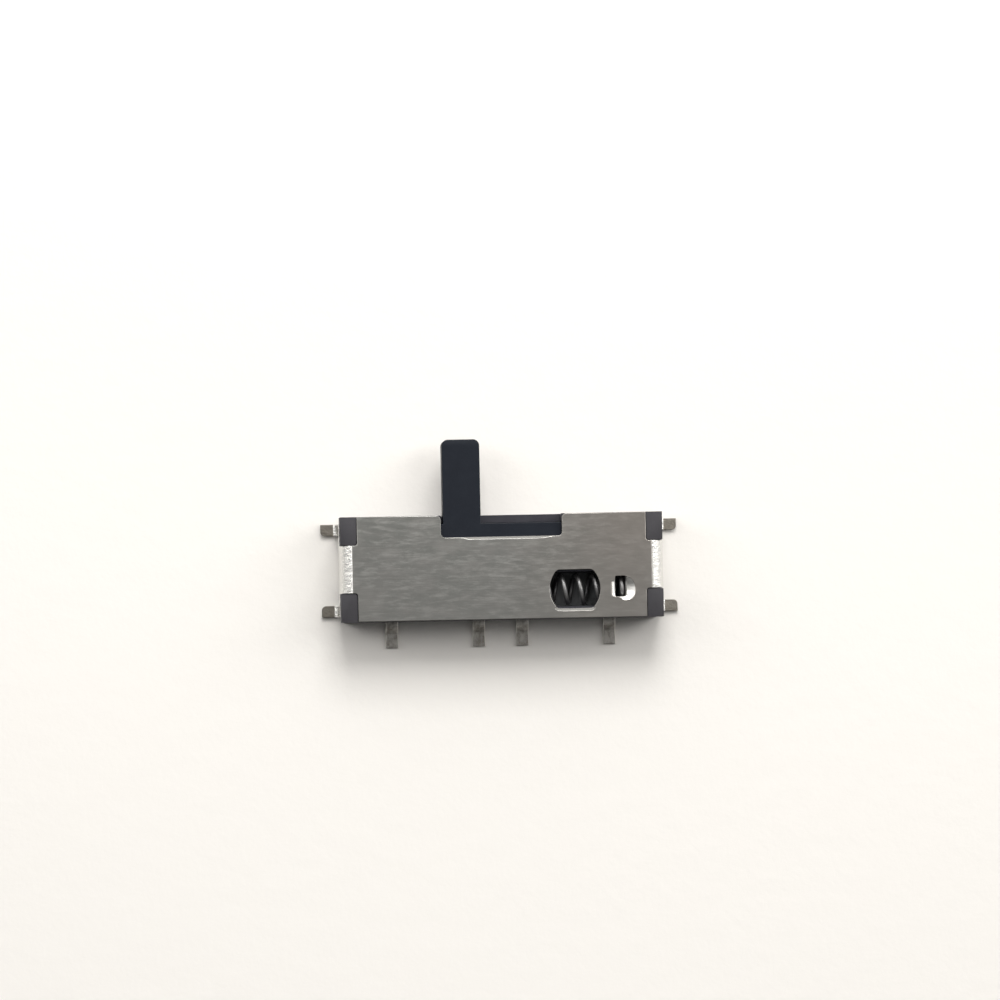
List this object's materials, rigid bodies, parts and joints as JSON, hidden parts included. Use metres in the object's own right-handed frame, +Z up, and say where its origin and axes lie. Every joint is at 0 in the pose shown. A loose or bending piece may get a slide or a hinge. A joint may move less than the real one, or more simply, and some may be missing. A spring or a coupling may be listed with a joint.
{
  "type": "slide switch",
  "caption": "Low surface-mount slide switch with a side lever that springs back, under a folded steel cover with solder feet.",
  "frame": {"origin": "centre of the body's underside, on the plane of the circuit board", "axes": "+X along the slide, in the way the lever is pushed; +Y the way the lever sticks out; +Z up from the board"},
  "size_m": [0.0122, 0.0071, 0.002],
  "materials": {
    "base_plastic": "moulded, matt",
    "cover_steel": "plated, rolled satin",
    "slider_plastic": "moulded, satin",
    "spring_steel": "drawn wire",
    "contact_bronze": "rolled spring strip",
    "terminal_plating": "plated strip"
  },
  "bodies": {
    "housing": {"base": "base_plastic", "cover": "cover_steel", "return_spring": "spring_steel", "terminal_1": "terminal_plating", "terminal_2": "terminal_plating", "terminal_3": "terminal_plating", "terminal_4": "terminal_plating"},
    "actuator": {"slider": "slider_plastic", "moving_contact": "contact_bronze"}
  },
  "joints": [
    {"name": "lever_slide", "type": "slide", "parent": "housing", "child": "actuator", "axis": [1, 0, 0], "range_m": [0, 0.00268], "stiffness_N_per_m": 970, "springref_m": -0.0008, "deforming": ["return_spring"]}
  ]
}
